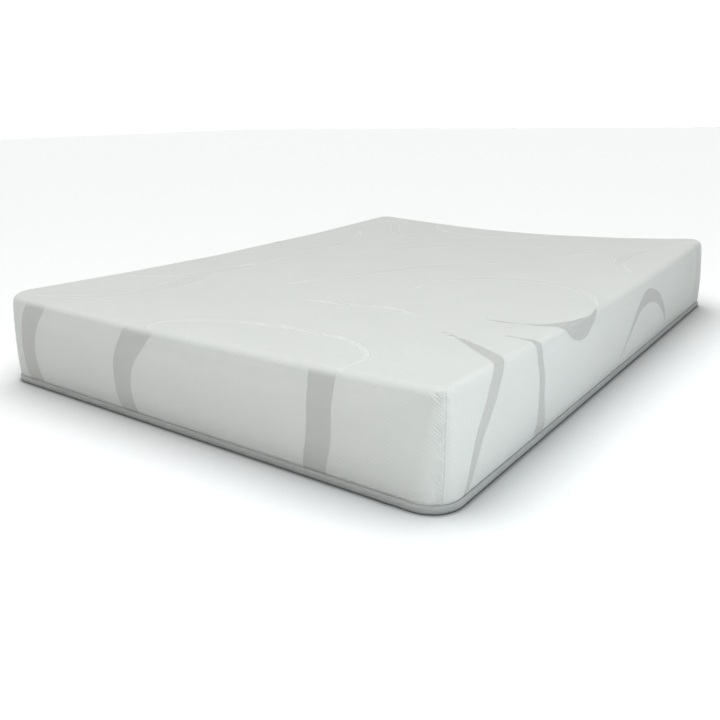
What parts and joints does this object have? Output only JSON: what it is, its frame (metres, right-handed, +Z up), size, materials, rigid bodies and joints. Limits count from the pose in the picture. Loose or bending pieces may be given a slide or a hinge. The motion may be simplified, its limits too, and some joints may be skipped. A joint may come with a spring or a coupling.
{
  "type": "memory foam mattress",
  "caption": "Rectangular memory foam mattress: glued foam layers in a sock, under a knitted cover bound to a non-slip base by an edge tape.",
  "frame": {"origin": "centre of the underside of the bottom panel", "axes": "+X across the width, +Y along the length towards the head end, +Z up through the thickness"},
  "size_m": [1.5302, 2.0382, 0.2702],
  "materials": {
    "bottom_fabric": "matte grey non-slip woven fabric",
    "base_foam": "open-cell polyurethane foam, matte",
    "comfort_foam": "soft open-cell foam, matte",
    "memory_foam": "dense viscoelastic foam, matte",
    "sock_knit": "fine rib knit, matte",
    "cover_knit": "white jacquard knit with grey-beige wave bands, soft sheen",
    "seam_thread": "polyester overlock thread",
    "binding_tape": "grey woven binding tape",
    "tape_thread": "polyester chain-stitch thread"
  },
  "bodies": {
    "root": {"bottom_panel": "bottom_fabric", "base_foam_layer": "base_foam", "comfort_foam_layer": "comfort_foam", "memory_foam_layer": "memory_foam", "fire_barrier_sock": "sock_knit", "knit_cover": "cover_knit", "corner_seam_foot_left": "seam_thread", "corner_seam_foot_right": "seam_thread", "corner_seam_head_left": "seam_thread", "corner_seam_head_right": "seam_thread", "edge_tape": "binding_tape", "tape_stitching": "tape_thread"}
  },
  "joints": []
}
